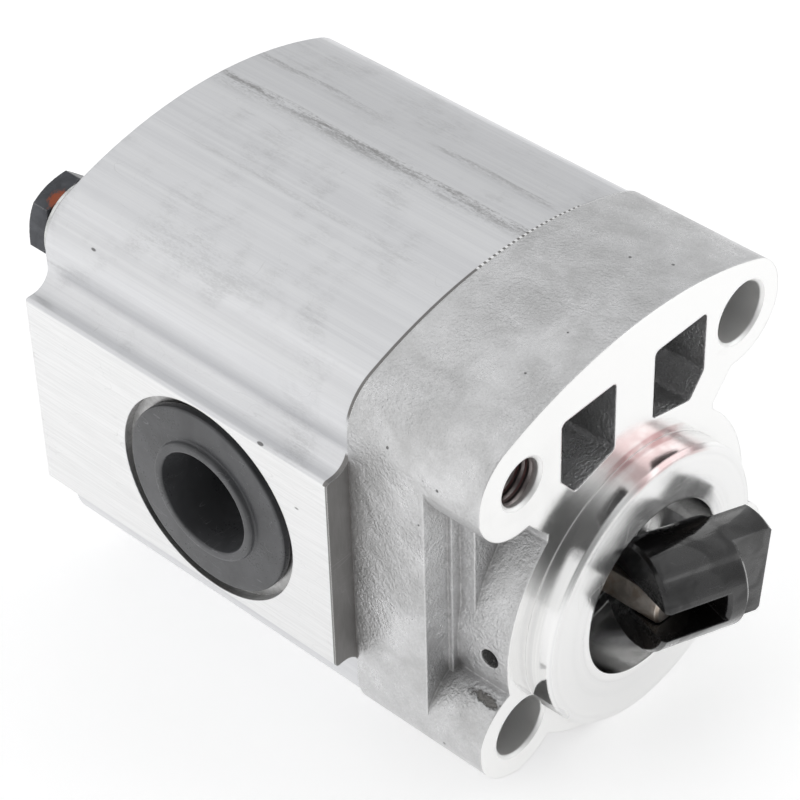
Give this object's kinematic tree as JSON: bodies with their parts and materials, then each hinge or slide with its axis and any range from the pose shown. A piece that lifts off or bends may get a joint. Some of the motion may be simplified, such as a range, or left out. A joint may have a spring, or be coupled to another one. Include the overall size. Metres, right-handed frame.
{
  "type": "hydraulic gear pump",
  "caption": "External gear pump with a round-pilot flange, side ports, and a floating tang coupler on its drive shaft.",
  "frame": {"origin": "on the drive shaft's axis, in the plane of the flange's mounting face", "axes": "-Y out of the mounting face along the drive shaft, -X and +X out of the two ports, +Z from the drive gear to the driven gear"},
  "size_m": [0.0862, 0.1225, 0.0838],
  "materials": {
    "cast_aluminium": "extruded aluminium, mill finish with drawn die lines",
    "flange_aluminium": "die-cast aluminium with a bright machined face",
    "gear_steel": "ground and hardened steel",
    "block_aluminium": "machined bearing alloy",
    "black_rubber": "nitrile rubber",
    "seal_steel": "pressed steel",
    "spring_steel": "oiled spring steel",
    "black_steel": "black oxide steel with a thin oil film",
    "bush_bronze": "bronze-backed plain bearing",
    "backup_plastic": "white backup strip",
    "zinc_washer": "zinc-plated steel",
    "plug_plastic": "moulded black polyethylene"
  },
  "bodies": {
    "housing": {"pump_body": "cast_aluminium", "front_flange": "flange_aluminium", "front_bearing_block": "block_aluminium", "rear_bearing_block": "block_aluminium", "body_seal_ring": "black_rubber", "seal_case": "seal_steel", "seal_lip": "black_rubber", "seal_spring": "spring_steel", "seal_retaining_ring": "spring_steel", "front_drive_bush": "bush_bronze", "front_driven_bush": "bush_bronze", "rear_drive_bush": "bush_bronze", "rear_driven_bush": "bush_bronze", "front_balance_seal": "black_rubber", "rear_balance_seal": "black_rubber", "front_balance_backup": "backup_plastic", "rear_balance_backup": "backup_plastic", "upper_tie_bolt": "black_steel", "lower_tie_bolt": "black_steel", "upper_bolt_washer": "zinc_washer", "lower_bolt_washer": "zinc_washer", "left_dowel": "spring_steel", "right_dowel": "spring_steel"},
    "drive_shaft": {"drive_gear_shaft": "gear_steel"},
    "driven_shaft": {"driven_gear_shaft": "gear_steel"},
    "coupler": {"drive_coupler": "black_steel"},
    "left_plug": {"left_port_plug": "plug_plastic"},
    "right_plug": {"right_port_plug": "plug_plastic"}
  },
  "joints": [
    {"name": "drive_spin", "type": "hinge", "parent": "housing", "child": "drive_shaft", "pos_m": [0, 0, 0], "axis": [0, 1, 0], "continuous": true},
    {"name": "driven_spin", "type": "hinge", "parent": "housing", "child": "driven_shaft", "pos_m": [0, 0, 0.023], "axis": [0, 1, 0], "continuous": true},
    {"name": "coupler_swing", "type": "hinge", "parent": "drive_shaft", "child": "coupler", "pos_m": [0, -0.00626, 0], "axis": [0.1115, 0, 0.9938], "range_deg": [-145, 0]},
    {"name": "left_plug_pull", "type": "slide", "parent": "housing", "child": "left_plug", "axis": [-1, 0, 0], "range_m": [0, 0.03]},
    {"name": "right_plug_pull", "type": "slide", "parent": "housing", "child": "right_plug", "axis": [1, 0, 0], "range_m": [0, 0.03]}
  ],
  "couplings": [
    {"joint": "driven_spin", "follows": "drive_spin", "ratio": -1}
  ]
}
